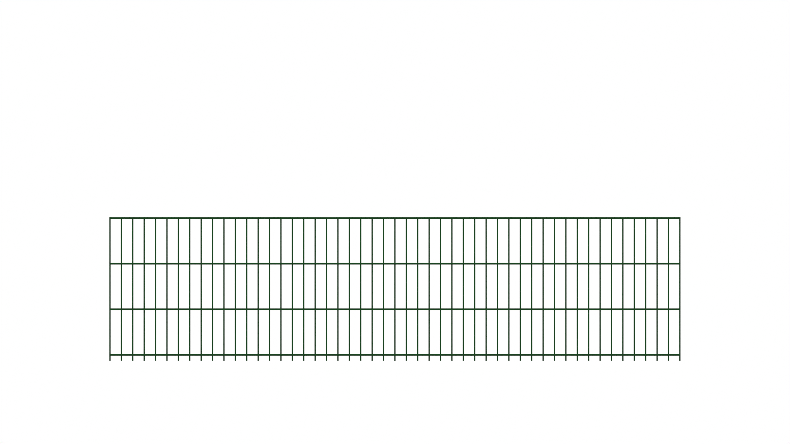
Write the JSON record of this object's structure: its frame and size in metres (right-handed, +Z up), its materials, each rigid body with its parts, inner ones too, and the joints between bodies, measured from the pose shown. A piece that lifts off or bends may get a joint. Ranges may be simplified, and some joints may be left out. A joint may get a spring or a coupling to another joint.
{
  "type": "welded mesh fence panel",
  "caption": "Rigid fence panel of round steel rods: uprights clamped and welded between pairs of level rails, flush at the top, with prongs below the bottom rail.",
  "frame": {"origin": "bottom centre of the panel, at the tip of the middle upright's prong", "axes": "+X along the panel to the right seen from the front, +Y from front to back, +Z up"},
  "size_m": [2.506, 0.0212, 0.63],
  "materials": {
    "green_powder_coat": "dark moss green powder coat over galvanised steel, semi-gloss"
  },
  "bodies": {
    "root": {"bottom_rail_back": "green_powder_coat", "bottom_rail_front": "green_powder_coat", "lower_rail_back": "green_powder_coat", "lower_rail_front": "green_powder_coat", "top_rail_back": "green_powder_coat", "top_rail_front": "green_powder_coat", "upper_rail_back": "green_powder_coat", "upper_rail_front": "green_powder_coat", "upright_left_end": "green_powder_coat", "upright_middle": "green_powder_coat", "upright_right_end": "green_powder_coat", "uprights_02_to_04": "green_powder_coat", "uprights_05_to_07": "green_powder_coat", "uprights_08_to_10": "green_powder_coat", "uprights_11_to_13": "green_powder_coat", "uprights_14_to_16": "green_powder_coat", "uprights_17_to_19": "green_powder_coat", "uprights_20_to_22": "green_powder_coat", "uprights_23_to_25": "green_powder_coat", "uprights_27_to_29": "green_powder_coat", "uprights_30_to_32": "green_powder_coat", "uprights_33_to_35": "green_powder_coat", "uprights_36_to_38": "green_powder_coat", "uprights_39_to_41": "green_powder_coat", "uprights_42_to_44": "green_powder_coat", "uprights_45_to_47": "green_powder_coat", "uprights_48_to_50": "green_powder_coat"}
  },
  "joints": []
}
